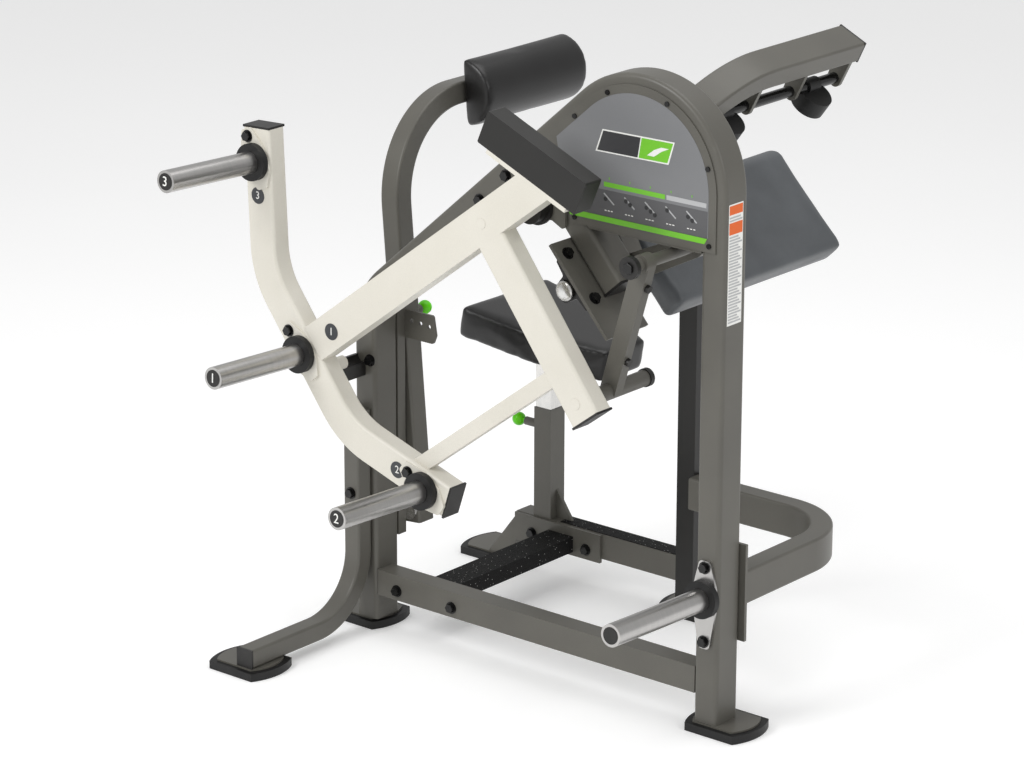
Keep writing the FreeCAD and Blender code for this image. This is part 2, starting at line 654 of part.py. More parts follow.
# ---------------------------------------------------------------- link
link_dir = unit(P1, P2)
link_n = (-link_dir[1], link_dir[0])
link_len = math.dist(P1, P2)
hw = size["link_width"] / 2.0
link_quad = [offset(P1, link_dir, s, link_n, o)
             for s, o in ((0, -hw), (link_len, -hw), (link_len, hw), (0, hw))]
link_box = slab("link_box", link_quad, -232.0, "link_depth")
low_boss = rod_y("link_low_boss", P1[0], P1[1], -307.0, -134.0, 17.5)
top_boss = rod_y("link_top_boss", P2[0], P2[1], -288.0, -88.0, 13.0)
top_end = rod_y("link_top_end", P2[0], P2[1], -262.0, -232.0, 20.0)
low_hole = rod_y("link_hole", P1[0], P1[1], -310.0, -138.0, shaft_r + clear)
node(cut("link_bar", fuse("link_weldment", [link_box, low_boss, top_boss, top_end]), low_hole),
     "link_bar")
link_ends = [rod_y("link_top_cap", P2[0], P2[1], -300.0, -288.0, 24.0),
             rod_y("link_low_cap", P1[0], P1[1], -134.0, -122.0, 20.0)]
for i, s in enumerate((80.0, link_len - 50.0)):
    q = offset(P1, link_dir, s, link_n, -hw)
    link_ends.append(rod("link_screw_%d" % (i + 1), (q[0], -245.0, q[1]),
                         (-link_n[0], 0, -link_n[1]), 8.5, 8.0))
node(group("link_caps", link_ends), "link_caps")

# ---------------------------------------------------------------- user arm
arm_up = (0.43, 0.90283)
arm_side = (0.90283, -0.43)
top_c = (276.5, 1311.5)
arm_y = -22.0
reach = 628.0
run_down = 452.0
arm_u = (0, 1, 0)
arm_v = (arm_up[0], 0, arm_up[1])
node(tube("arm_tube", [(arm_y, -run_down), (arm_y, 0.0), (reach - 5.0, 0.0)], 330.0,
          "arm_tube_depth", "arm_tube_width", "small_corner",
          (top_c[0], 0, top_c[1]), arm_u, arm_v), "arm_tube")
gap = (O2[0] - top_c[0]) * arm_side[0] + (O2[1] - top_c[1]) * arm_side[1]
face_run = gap - size["arm_tube_width"] / 2.0
hub_quad = [offset(O2, arm_side, s, arm_up, o)
            for s, o in ((30, -34), (30, 34), (-face_run, 80), (-face_run, -40))]
hub_block = slab("hub_block", hub_quad, arm_y + 25.0, "arm_tube_depth", [14, 14, 0, 0])
hub_hole = rod_y("hub_hole", O2[0], O2[1], arm_y - 30.0, arm_y + 30.0, arm_r)
node(cut("arm_hub", hub_block, hub_hole), "arm_hub")
arm_cap_end = (reach - 5.0)
cap_box = doc.addObject("Part::Box", "arm_end_cap")
cap_box.Length = size["arm_tube_width"]
bind(cap_box, "Length", "arm_tube_width")
cap_box.Width = size["arm_tube_depth"]
bind(cap_box, "Width", "arm_tube_depth")
cap_box.Height = 5.0
cap_low = offset(top_c, arm_side, -size["arm_tube_width"] / 2.0, arm_up,
                 size["arm_tube_depth"] / 2.0)
cap_box.Placement = frame_from((cap_low[0], arm_cap_end, cap_low[1]),
                               (arm_side[0], 0, arm_side[1]), (-arm_up[0], 0, -arm_up[1]))
node(cap_box, "arm_end_cap")
node(rod_y("arm_shaft", O2[0], O2[1], -223.0, 13.0, "arm_shaft_radius"), "arm_shaft")

crank_d = unit(O2, P2)
crank_n = (-crank_d[1], crank_d[0])
crank_l = math.dist(O2, P2)
crank_quad = [offset(O2, crank_d, s, crank_n, o)
              for s, o in ((-32, -32), (crank_l + 25, -25), (crank_l + 25, 25), (-32, 32))]
crank_slab = slab("crank_slab", crank_quad, -67.0, "crank_plate_thick", 22.0)
crank_hole = rod_y("crank_hole", O2[0], O2[1], -90.0, -60.0, arm_r)
node(cut("crank_plate", crank_slab, crank_hole), "crank_plate")

rod_c = (255.0, 1235.0)
rod_r = size["rod_radius"]
node(rod_y("handle_rod", rod_c[0], rod_c[1], 160.0, 618.0, "rod_radius"), "handle_rod")
rod_side = (rod_c[0] - top_c[0]) * arm_side[0] + (rod_c[1] - top_c[1]) * arm_side[1]
ears = []
for i, y in enumerate((279.0, 443.0, 608.0)):
    quad = [offset(top_c, arm_side, rod_side + s, arm_up, o)
            for s, o in ((-20, -27 if i == 0 else -25), (20, -27 if i == 0 else -25),
                         (18, -97), (-18, -97))]
    ear = slab("ear_%d" % (i + 1), quad, y + 5.0, 10.0, [0, 0, 14, 14])
    bore = rod_y("ear_bore_%d" % (i + 1), rod_c[0], rod_c[1], y - 10.0, y + 10.0, rod_r + clear)
    ears.append(cut("handle_ear_%d" % (i + 1), ear, bore))
node(group("handle_ears", ears), "handle_ears")
grip_n = (0.6, 0.8)
grip_c = (260.0, 1205.0)


def grip(name, y):
    """Round hand pad carried on a short sleeve that turns on the rod."""
    half_t = size["grip_thick"] / 2.0
    base = (grip_c[0] - grip_n[0] * half_t, y, grip_c[1] - grip_n[1] * half_t)
    puck = rod(name + "_puck", base, (grip_n[0], 0, grip_n[1]), "grip_radius", "grip_thick")
    hub = rod_y(name + "_sleeve", rod_c[0], rod_c[1], y - 20.0, y + 20.0, 17.5)
    bore = rod_y(name + "_bore", rod_c[0], rod_c[1], y - 60.0, y + 60.0, rod_r + clear)
    return node(cut(name, fuse(name + "_body", [puck, hub]), bore), name)


grip("hand_grip_right", 196.0)
grip("hand_grip_left", 512.0)

# ---------------------------------------------------------------- seat
post_left = -373.0
wall = 2.5
inner = size["small_tube"] - 2 * wall
sleeve_out = box("sleeve_outer", (post_left, user_y - small / 2.0, base_top), "small_tube",
                 "small_tube", "sleeve_height")
sleeve_in = box("sleeve_inner", (post_left + wall, user_y - inner / 2.0, base_top - 1.0),
                inner, inner, size["sleeve_height"] + 2.0)
pin_z = base_top + size["sleeve_height"] - 50.0
pin_r = size["pin_radius"]
gusset = slab("sleeve_gusset", [(post_left + small, base_top), (post_left + small + 48, base_top),
                                (post_left + small, base_top + 70)], user_y + 4.0, 8.0)
barrel = rod("pin_barrel", (post_left, user_y, pin_z), (-1, 0, 0), 10.0, 44.0)
pin_hole = rod("pin_hole", (post_left - 48, user_y, pin_z), (1, 0, 0), pin_r + clear, 54.0)
sleeve_shell = cut("sleeve_shell", fuse("sleeve_weldment", [sleeve_out, barrel, gusset]), sleeve_in)
node(cut("seat_sleeve", sleeve_shell, pin_hole), "seat_sleeve")
slide_w = inner - 2 * 0.1
# The seat slopes down towards its narrow front.
seat_rear = (-502.0, 585.0)
seat_dir = (math.cos(math.radians(9.5)), -math.sin(math.radians(9.5)))
seat_up = (-seat_dir[1], seat_dir[0])
under = offset(seat_rear, seat_dir, 0.0, seat_up, -3.0)
tube_a = post_left + wall + 0.1
tube_b = tube_a + slide_w
tube_pts = [(tube_a, 262.0), (tube_b, 262.0), cross_point(under, seat_dir, (tube_b, 0), (0, 1)),
            cross_point(under, seat_dir, (tube_a, 0), (0, 1))]
inner_tube = slab("seat_tube", tube_pts, user_y + slide_w / 2.0, slide_w)
plate_pts = [offset(seat_rear, seat_dir, s, seat_up, o)
             for s, o in ((95.0, -6.0), (325.0, -6.0), (325.0, 0.0), (95.0, 0.0))]
seat_plate = slab("seat_plate", plate_pts, user_y + 60.0, 120.0)
node(fuse("seat_carriage", [inner_tube, seat_plate]), "seat_carriage")
seat_l = size["seat_length"]
hf = size["seat_front_width"] / 2.0
hr = size["seat_rear_width"] / 2.0
hm = hr - 22.0
seat_mid = seat_l * 0.55
seat_pts = [(0, user_y - hr), (seat_mid, user_y - hm), (seat_l, user_y - hf),
            (seat_l, user_y + hf), (seat_mid, user_y + hm), (0, user_y + hr)]
seat_pad = outline_body("seat_pad", rounded_path(seat_pts, [12, 60, 12, 12, 60, 12], closed=True),
                        "seat_thick", "XY_Plane")
seat_pad.Placement = frame_from((seat_rear[0], 0, seat_rear[1]), (seat_dir[0], 0, seat_dir[1]),
                                (0, 1, 0))
node(seat_pad, "seat_pad")
tip_x = post_left + wall + 0.1 - 0.3
knob_x = post_left - 66.0
seat_plunger = rod("seat_plunger", (knob_x, user_y, pin_z), (1, 0, 0), "pin_radius", tip_x - knob_x)


def ball(name, centre, turn=0.0):
    """Round knob; turn keeps the sphere's seam away from the plunger."""
    b = doc.addObject("Part::Sphere", name)
    b.Radius = size["knob_radius"]
    bind(b, "Radius", "knob_radius")
    b.Placement = FreeCAD.Placement(V(*centre), FreeCAD.Rotation(V(0, 0, 1), turn))
    return b


node(fuse("seat_pin", [seat_plunger, ball("seat_knob", (knob_x, user_y, pin_z), 90.0)]),
     "seat_pin")

# ---------------------------------------------------------------- backrest mast
spacer_back = back_face + size["spacer_depth"]
node(box("mast_spacer", (left_x - half, back_face, 205.0), "frame_tube_width", "spacer_depth",
         535.0), "mast_spacer")
adj_t = size["adjuster_thick"]
pivot = (-406.0, 256.0)
swing = 450.0
adj = slab("adjuster_blank", [(-464, 664), (-330, 664), (-322, 684), (-330, 729), (-464, 729)],
           spacer_back + adj_t, "adjuster_thick", [3, 6, 6, 6, 3])
adj_holes = []
for i in range(5):
    x = -442.0 + 25.0 * i
    z = pivot[1] + math.sqrt(swing ** 2 - (x - pivot[0]) ** 2)
    adj_holes.append(rod_y("adjuster_hole_%d" % (i + 1), x, z, spacer_back - 1.0,
                           spacer_back + adj_t + 1.0, pin_r + clear))
node(cut("adjuster_plate", adj, fuse("adjuster_holes", adj_holes)), "adjuster_plate")
lean = (-0.0829, 0.99656)
mast_front = spacer_back + adj_t + 2.0
mast_y = mast_front + small / 2.0
mast_back = mast_front + small
mast_low = along(pivot, lean, -28.0)
mast_h = (1165.0 - mast_low[1]) / lean[1]
mast_tube = tube("mast_tube", [(0.0, 0.0), (0.0, mast_h), (360.0, mast_h)], 215.0, "small_tube",
                 "small_tube", "small_corner", (mast_low[0], mast_y, mast_low[1]), (0, 1, 0),
                 (lean[0], 0, lean[1]))
bolt_r = 10.0
pivot_hole = rod_y("pivot_hole", pivot[0], pivot[1], mast_front - 5.0, mast_back + 10.0,
                   bolt_r + clear)
pin_start = (-442.0, pivot[1] + math.sqrt(swing ** 2 - 36.0 ** 2))
mast_hole = rod_y("mast_pin_hole", pin_start[0], pin_start[1], mast_front - 5.0,
                  mast_back + 10.0, pin_r + clear)
pivot_rod = rod_y("pivot_rod", pivot[0], pivot[1], spacer_back, mast_back + 0.5, bolt_r)
pivot_washer = rod_y("pivot_washer", pivot[0], pivot[1], spacer_back, mast_front - 0.5, 20.0)
pivot_head = rod_y("pivot_head", pivot[0], pivot[1], mast_back + 0.5, mast_back + 8.5, 17.0)
node(fuse("mast_pivot_bolt", [pivot_rod, pivot_washer, pivot_head]), "mast_pivot_bolt")
mast_barrel = rod_y("mast_barrel", pin_start[0], pin_start[1], mast_back,
                    mast_back + 25.0, 11.0)
mast_barrel_hole = rod_y("mast_barrel_hole", pin_start[0], pin_start[1], mast_back - 1.0,
                         mast_back + 26.0, pin_r + clear)
node(cut("mast", fuse("mast_weldment", [mast_tube, mast_barrel]),
         fuse("mast_holes", [pivot_hole, mast_hole, mast_barrel_hole])), "mast")
mast_plunger = rod_y("mast_plunger", pin_start[0], pin_start[1], mast_front - 1.7,
                     mast_back + 41.0, "pin_radius")
node(fuse("mast_pin", [mast_plunger, ball("mast_knob", (pin_start[0], mast_back + 43.0,
                                                        pin_start[1]))]), "mast_pin")
pad_r = size["back_pad_radius"]
mast_c = along(mast_low, lean, mast_h)
lean_x = (lean[1], -lean[0])
flat_c = along(mast_c, lean_x, small / 2.0)
d_low = offset(flat_c, lean, -pad_r, lean_x, 0.0)
d_high = offset(flat_c, lean, pad_r, lean_x, 0.0)
d_mid = along(flat_c, lean_x, pad_r)
d_pieces = [Part.LineSegment(V(*d_high, 0), V(*d_low, 0)),
            Part.Arc(V(*d_low, 0), V(*d_mid, 0), V(*d_high, 0))]
node(outline_body("back_pad", d_pieces, "back_pad_length",
                  base=(0, 178.0 + size["back_pad_length"], 0)), "back_pad")

# ---------------------------------------------------------------- caps and fasteners
node(group("frame_end_caps", [
    cap("cross_leg_cap", leg_end, down_right, width, size["frame_tube_depth"], frame_mid, 6.0),
    box("outrigger_cap", (out_x - 22.5, -567.0, floor_top), 45.0, 5.0, 43.0),
    storage_plug]), "frame_end_caps")

fasteners = []


def add_bolt(x, y, z, direction):
    fasteners.append(bolt("frame_bolt_%d" % (len(fasteners) + 1), (x, y, z), direction))


for x, z in ((-355.0, 105.0), (-195.0, 105.0)):
    add_bolt(x, base_front, z, (0, -1, 0))
for x, z in ((-372.0, 100.0), (-211.0, 97.0)):
    add_bolt(x, spine_front - spine_plate, z, (0, -1, 0))
for s, y in ((284.0, plate_front), (389.0, front_face)):
    q = along(arch_end, down_left, s)
    add_bolt(q[0], y, q[1] - 6.0, (0, -1, 0))
for x, z in ((store_x, 373.0), (store_x, 208.0)):
    add_bolt(x, front_face - 6.0, z, (0, -1, 0))
add_bolt(out_x, front_face - 46.5, 480.0, (0, -1, 0))
add_bolt(out_x, front_face - 46.5, 330.0, (0, -1, 0))
add_bolt(-426.0, front_face, 632.0, (0, -1, 0))
for s in (225.0, 336.0):
    q = offset(seat_face, down_right, s, up_right, 0.0)
    add_bolt(q[0], -199.0, q[1], (up_right[0], 0, up_right[1]))
node(group("frame_bolts", fasteners), "frame_bolts")
screws = []
panel_front = front_face - size["panel_thick"]
for i, (x, z) in enumerate(((150, 1281), (236, 1345), (390, 1345), (496, 1227), (502, 1066),
                            (152, 1065))):
    screws.append(rod("panel_screw_%d" % (i + 1), (x, panel_front, z), (0, -1, 0), 5.5, 3.0))
node(group("panel_screws", screws), "panel_screws")

# ---------------------------------------------------------------- check and export
doc.recompute()
bad = [o.Label for o in doc.Objects if "Invalid" in o.State or "Error" in o.State]
if bad:
    raise RuntimeError("objects in error: %s" % bad)
for name, obj in NODES:
    shape = obj.Shape
    if shape.isNull() or not shape.isValid() or shape.Volume <= 0:
        raise RuntimeError("bad shape: " + name)
    shape.exportStep("parts/%s.step" % name)
print("nodes", len(NODES))
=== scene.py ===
"""Seated plate-loaded arm machine: finishes, upholstery and printed details."""
import json
import math

import bmesh
import bpy
from bpy.props import FloatProperty, FloatVectorProperty, PointerProperty
from mathutils import Matrix, Vector

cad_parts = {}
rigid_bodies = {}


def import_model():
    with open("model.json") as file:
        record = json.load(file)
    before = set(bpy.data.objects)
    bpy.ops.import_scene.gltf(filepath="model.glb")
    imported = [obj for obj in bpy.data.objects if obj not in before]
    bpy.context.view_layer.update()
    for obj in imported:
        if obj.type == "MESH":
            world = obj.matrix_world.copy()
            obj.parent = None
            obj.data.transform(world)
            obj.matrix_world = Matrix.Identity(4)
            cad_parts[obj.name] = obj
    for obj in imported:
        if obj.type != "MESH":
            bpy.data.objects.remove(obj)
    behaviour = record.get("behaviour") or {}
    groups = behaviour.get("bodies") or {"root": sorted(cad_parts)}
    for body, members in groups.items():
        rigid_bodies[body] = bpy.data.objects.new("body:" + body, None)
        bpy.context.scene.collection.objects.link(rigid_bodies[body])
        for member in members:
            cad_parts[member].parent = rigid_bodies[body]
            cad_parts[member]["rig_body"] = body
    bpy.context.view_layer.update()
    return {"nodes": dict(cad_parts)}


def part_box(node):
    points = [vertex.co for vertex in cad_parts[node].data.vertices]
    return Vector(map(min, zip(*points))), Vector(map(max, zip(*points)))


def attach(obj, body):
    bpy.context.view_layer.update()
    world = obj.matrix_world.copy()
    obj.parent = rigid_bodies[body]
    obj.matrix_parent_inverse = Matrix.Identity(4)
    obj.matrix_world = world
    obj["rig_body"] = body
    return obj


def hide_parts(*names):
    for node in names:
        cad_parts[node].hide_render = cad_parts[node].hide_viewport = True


bl_info = {
    "name": "Seated arm machine",
    "version": (1, 0, 0),
    "blender": (4, 5, 0),
    "location": "View3D > Sidebar > Arm machine",
    "description": "Upholstery, finishes and printed details of a seated arm machine",
    "category": "Object",
}

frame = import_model()


# ------------------------------------------------------------------ helpers
def to_linear(hex_colour):
    """sRGB hex to linear RGBA."""
    out = []
    for i in (1, 3, 5):
        c = int(hex_colour[i:i + 2], 16) / 255.0
        out.append(c / 12.92 if c <= 0.04045 else ((c + 0.055) / 1.055) ** 2.4)
    return (*out, 1.0)


def put(tree, kind, settings=None, links=None):
    """Adds a node with its settings and the links into its sockets."""
    n = tree.nodes.new(kind)
    for key, value in (settings or {}).items():
        if isinstance(key, int) or key in n.inputs:
            n.inputs[key].default_value = value
        else:
            setattr(n, key, value)
    for key, source in (links or {}).items():
        tree.links.new(source, n.inputs[key])
    return n


def new_material(name, **sockets):
    """A Principled material and its tree, with constant sockets set directly."""
    mat = bpy.data.materials.new(name)
    mat.use_nodes = True
    shader = mat.node_tree.nodes["Principled BSDF"]
    for key, value in sockets.items():
        shader.inputs[key.replace("_", " ")].default_value = value
    return mat, mat.node_tree, shader


def ramp(tree, source, stops):
    """Colour ramp over (position, colour) stops."""
    n = put(tree, "ShaderNodeValToRGB", links={"Fac": source})
    while len(n.color_ramp.elements) < len(stops):
        n.color_ramp.elements.new(0.5)
    for e, (pos, colour) in zip(n.color_ramp.elements, stops):
        e.position = pos
        e.color = colour
    return n.outputs["Color"]


def bump(tree, shader, height, strength, distance):
    n = put(tree, "ShaderNodeBump", {"Strength": strength, "Distance": distance},
            {"Height": height})
    tree.links.new(n.outputs["Normal"], shader.inputs["Normal"])


def coords(tree):
    return put(tree, "ShaderNodeTexCoord").outputs["Object"]


# ------------------------------------------------------------------ materials
def powder_coat(name, hex_colour, dark_hex, rough):
    """Powder coat: baked polyester with a fine 1.2 mm orange peel (drawn at 3 mm so it shows)."""
    mat, tree, shader = new_material(name, Roughness=rough, Specular_IOR_Level=0.42)
    co = coords(tree)
    peel = put(tree, "ShaderNodeTexNoise", {"Scale": 330.0, "Detail": 2.0}, {"Vector": co})
    cloud = put(tree, "ShaderNodeTexNoise", {"Scale": 7.0, "Detail": 3.0}, {"Vector": co})
    fleck = put(tree, "ShaderNodeTexNoise", {"Scale": 900.0, "Detail": 1.0}, {"Vector": co})
    base = ramp(tree, cloud.outputs["Fac"], [(0.3, to_linear(dark_hex)),
                                             (0.7, to_linear(hex_colour))])
    tint = put(tree, "ShaderNodeMixRGB", {"blend_type": "MULTIPLY", "Fac": 0.22},
               {"Color1": base, "Color2": fleck.outputs["Fac"]})
    tree.links.new(tint.outputs["Color"], shader.inputs["Base Color"])
    spread = put(tree, "ShaderNodeMapRange", {"To Min": rough - 0.05, "To Max": rough + 0.07},
                 {"Value": cloud.outputs["Fac"]})
    tree.links.new(spread.outputs["Result"], shader.inputs["Roughness"])
    bump(tree, shader, peel.outputs["Fac"], 0.10, 0.0006)
    return mat


def turned_steel(name, hex_colour, light_hex, rough, axis_scale):
    """Turned steel: fine lathe lines round the bar, drawn 1 mm apart so they show."""
    mat, tree, shader = new_material(name, Metallic=1.0, Roughness=rough)
    co = coords(tree)
    stretch = put(tree, "ShaderNodeMapping", {"Scale": axis_scale}, {"Vector": co})
    lines = put(tree, "ShaderNodeTexNoise", {"Scale": 1.0, "Detail": 4.0},
                {"Vector": stretch.outputs["Vector"]})
    tone = ramp(tree, lines.outputs["Fac"], [(0.35, to_linear(hex_colour)),
                                             (0.65, to_linear(light_hex))])
    tree.links.new(tone, shader.inputs["Base Color"])
    spread = put(tree, "ShaderNodeMapRange", {"To Min": rough - 0.02, "To Max": rough + 0.03},
                 {"Value": lines.outputs["Fac"]})
    tree.links.new(spread.outputs["Result"], shader.inputs["Roughness"])
    bump(tree, shader, lines.outputs["Fac"], 0.03, 0.0001)
    return mat


def moulded(name, hex_colour, rough, grain_mm, depth=0.0003):
    """Moulded rubber or plastic: an even spark-eroded grain from the mould."""
    mat, tree, shader = new_material(name, Roughness=rough, Specular_IOR_Level=0.4)
    co = coords(tree)
    grain = put(tree, "ShaderNodeTexNoise", {"Scale": 1000.0 / grain_mm, "Detail": 3.0},
                {"Vector": co})
    dust = put(tree, "ShaderNodeTexNoise", {"Scale": 22.0, "Detail": 4.0}, {"Vector": co})
    lift = tuple(min(1.0, c * 1.6 + 0.004) for c in to_linear(hex_colour)[:3]) + (1.0,)
    tone = ramp(tree, dust.outputs["Fac"], [(0.4, to_linear(hex_colour)), (0.85, lift)])
    tree.links.new(tone, shader.inputs["Base Color"])
    bump(tree, shader, grain.outputs["Fac"], 0.3, depth)
    return mat


def printed(name, hex_colour):
    """Screen print: a flat ink film with a faint 1 mm mottle."""
    mat, tree, shader = new_material(name, Roughness=0.42, Specular_IOR_Level=0.4)
    co = coords(tree)
    mottle = put(tree, "ShaderNodeTexNoise", {"Scale": 900.0, "Detail": 2.0}, {"Vector": co})
    ink = to_linear(hex_colour)
    thin = tuple(c * 0.93 for c in ink[:3]) + (1.0,)
    tone = ramp(tree, mottle.outputs["Fac"], [(0.3, thin), (0.7, ink)])
    tree.links.new(tone, shader.inputs["Base Color"])
    bump(tree, shader, mottle.outputs["Fac"], 0.08, 0.0001)
    return mat


def vinyl(name, hex_colour, rough, sheen):
    """Upholstery vinyl: embossed leather cells about 2 mm across over knit backing, with painted
    shade darkening the base colour along the cell edges.
    """
    mat, tree, shader = new_material(name, Roughness=rough, Specular_IOR_Level=0.45,
                                     Coat_Weight=sheen, Coat_Roughness=0.35)
    co = coords(tree)
    cells = put(tree, "ShaderNodeTexVoronoi", {"Scale": 460.0, "feature": "DISTANCE_TO_EDGE"},
                {"Vector": co})
    soft = put(tree, "ShaderNodeTexNoise", {"Scale": 9.0, "Detail": 3.0}, {"Vector": co})
    lift = tuple(min(1.0, c * 1.35 + 0.003) for c in to_linear(hex_colour)[:3]) + (1.0,)
    tone = ramp(tree, soft.outputs["Fac"], [(0.3, to_linear(hex_colour)), (0.75, lift)])
    # painted shade: the base colour is darkened down to 0.82 along the cell edges, where the
    # creases of the grain fall into shade
    crease_shade = put(tree, "ShaderNodeMapRange", {"From Max": 0.12, "To Min": 0.82, "To Max": 1.0},
                 {"Value": cells.outputs["Distance"]})
    dark = put(tree, "ShaderNodeMixRGB", {"blend_type": "MULTIPLY", "Fac": 1.0},
               {"Color1": tone, "Color2": crease_shade.outputs["Result"]})
    tree.links.new(dark.outputs["Color"], shader.inputs["Base Color"])
    bump(tree, shader, cells.outputs["Distance"], 0.22, 0.0006)
    return mat


def grit_tape(name):
    """Anti-slip tape: silicon carbide grit of about 1 mm; the glints of its facets are painted
    into the base colour as bright dots.
    """
    mat, tree, shader = new_material(name, Specular_IOR_Level=0.25)
    co = coords(tree)
    grit = put(tree, "ShaderNodeTexVoronoi", {"Scale": 620.0}, {"Vector": co})
    # painted highlight: bright dots in the base colour stand in for the glints of the grit's
    # facets
    glint = put(tree, "ShaderNodeTexVoronoi", {"Scale": 120.0}, {"Vector": co})
    spark = ramp(tree, glint.outputs["Distance"], [(0.09, to_linear("#c4c4c1")),
                                                   (0.13, to_linear("#080808"))])
    tree.links.new(spark, shader.inputs["Base Color"])
    rough = put(tree, "ShaderNodeMapRange", {"To Min": 0.5, "To Max": 0.9},
                {"Value": grit.outputs["Distance"]})
    tree.links.new(rough.outputs["Result"], shader.inputs["Roughness"])
    bump(tree, shader, grit.outputs["Distance"], 0.6, 0.001)
    return mat


COAT_GREY = powder_coat("bronze_grey_powder_coat", "#64625b", "#5d5b55", 0.38)
COAT_CREAM = powder_coat("cream_powder_coat", "#e3dfd4", "#ddd9cd", 0.34)
COAT_BLACK = powder_coat("satin_black_powder_coat", "#1f1e1c", "#191816", 0.36)
STEEL = turned_steel("satin_turned_steel", "#b4b3b1", "#bab8b6", 0.30, (12.0, 300.0, 12.0))
CHROME = turned_steel("hard_chrome", "#cfcfcd", "#dddbd8", 0.24, (40.0, 300.0, 40.0))
RUBBER = moulded("black_moulded_rubber", "#0d0d0d", 0.50, 1.5)
CAP_PLASTIC = moulded("black_nylon_cap", "#1b1a19", 0.42, 1.2)
OXIDE = moulded("black_oxide_steel", "#0c0c0c", 0.22, 2.5, 0.0001)
GREEN = moulded("green_nylon_knob", "#5fd10a", 0.28, 6.0, 0.0001)
VINYL_BLACK = vinyl("black_upholstery_vinyl", "#0c0b0b", 0.34, 0.12)
VINYL_GREY = vinyl("grey_upholstery_vinyl", "#4b4e51", 0.42, 0.06)
GRIT = grit_tape("black_anti_slip_tape")
PRINT_GREY = printed("screen_printed_grey", "#7b7c7e")
PRINT_DARK = printed("screen_printed_charcoal", "#5a5a5c")
PRINT_BADGE = printed("screen_printed_dark_grey", "#38383a")
PRINT_BLACK = printed("screen_printed_black", "#2c2c2e")
PRINT_GREEN = printed("screen_printed_green", "#74c233")
PRINT_PALE = printed("screen_printed_pale", "#b4b5b6")
PRINT_WHITE = printed("screen_printed_white", "#ecece8")
PRINT_ORANGE = printed("screen_printed_orange", "#e2641c")
DISC_GREY = printed("charcoal_vinyl_disc", "#3b3d40")

NODE_FINISH = {}
for nodes, finish in (
        (("right_frame_tube left_frame_tube cross_leg panel_rail front_base_bar front_left_leg "
          "spine_bar spine_end_plate side_brace mast_spacer mast lever_pivot_plate "
          "arm_bearing_plate arm_tube arm_hub link_bar crank_plate adjuster_plate "
          "foot_plates handle_ears info_panel side_brace_plate seat_sleeve"), COAT_GREY),
        # painted shade: the rear post gets satin black for a post that sits in shade behind the
        # right upright
        ("rear_post stop_bracket lever_bearing counterweight pillow_blocks", COAT_BLACK),
        ("lever_arc_tube lever_beam lever_crank lever_brace horn_flanges stop_peg", COAT_CREAM),
        ("horn_sleeves storage_horn", STEEL),
        ("arm_shaft lever_pins seat_carriage mast_pivot_bolt", CHROME),
        ("rubber_feet horn_collars storage_collar hand_grip_right hand_grip_left", RUBBER),
        ("lever_end_caps frame_end_caps link_caps arm_end_cap", CAP_PLASTIC),
        ("horn_bolts frame_bolts panel_screws handle_rod", OXIDE),
        ("seat_pin mast_pin", GREEN),
        ("step_bar", GRIT),
        ("seat_pad back_pad", VINYL_BLACK),
        ("arm_pad", VINYL_GREY)):
    for n in nodes.split():
        NODE_FINISH[n] = finish


# ------------------------------------------------------------------ mesh helpers
INK = 0.0004  # thickness of one printed layer, in metres
HORN_TILT = math.radians(2.3)
LEVER_PIVOT = (0.057, 1.074)  # pivots as (x, z) at rest, in metres
LINK_LOW_PIN = (0.3102, 0.7364)
LINK_TOP_PIN = (0.395, 1.028)
ARM_SHAFT = (0.167, 0.919)
HORN_RUN = 0.275  # from a horn flange to just past the face of its end plug


def make_object(name, bm, material, body, bevel=0.0, smooth=True):
    mesh = bpy.data.meshes.new(name)
    bmesh.ops.recalc_face_normals(bm, faces=bm.faces)
    bm.to_mesh(mesh)
    bm.free()
    obj = bpy.data.objects.new(name, mesh)
    bpy.context.scene.collection.objects.link(obj)
    mesh.materials.append(material)
    if smooth:
        mesh.shade_smooth()
    if bevel:
        mod = obj.modifiers.new("edge", "BEVEL")
        mod.width = bevel
        mod.segments = 2
    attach(obj, body)
    return obj


def sheet_bm(bm, points, thickness):
    """A thin printed layer: an outline face extruded outwards by its thickness vector."""
    verts = [bm.verts.new(p) for p in points]
    face = bm.faces.new(verts)
    out = bmesh.ops.extrude_face_region(bm, geom=[face])
    moved = [g for g in out["geom"] if isinstance(g, bmesh.types.BMVert)]
    bmesh.ops.translate(bm, verts=moved, vec=thickness)


def xz_layer(name, outlines, y, material, body="frame"):
    """Flat printed shapes facing -Y, outlines given as (x, z) in metres."""
    bm = bmesh.new()
    for outline in outlines:
        sheet_bm(bm, [(x, y, z) for x, z in outline], Vector((0, -INK, 0)))
    return make_object(name, bm, material, body, smooth=False)


def rect(x0, z0, x1, z1):
    return [(x0, z0), (x1, z0), (x1, z1), (x0, z1)]


def text_mesh(name, word, size_m, matrix, material, body):
    """A number cut from thin vinyl, turned into a mesh before it is placed."""
    curve = bpy.data.curves.new(name, "FONT")
    curve.body = word
    curve.size = size_m
    curve.align_x = "CENTER"
    curve.align_y = "CENTER"
    curve.extrude = INK
    tmp = bpy.data.objects.new(name + "_tmp", curve)
    bpy.context.scene.collection.objects.link(tmp)
    bpy.context.view_layer.update()
    mesh = bpy.data.meshes.new_from_object(tmp.evaluated_get(
        bpy.context.evaluated_depsgraph_get()))
    bpy.data.objects.remove(tmp)
    mesh.transform(matrix)
    mesh.materials.clear()
    mesh.materials.append(material)
    obj = bpy.data.objects.new(name, mesh)
    bpy.context.scene.collection.objects.link(obj)
    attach(obj, body)
    return obj


# Pads: mesh size and how far the shape is drawn in before the cover swells, in metres.
PAD_VOXEL = 0.006
PAD_SHRINK = 0.0015
PAD_BEVEL = 0.006
PAD_SHARP = 0.6  # edges that turn more than this many radians are rounded
PAD_PRESSURE = 3.0
SIM_FRAMES = 20
SMOOTH_PASSES = 6


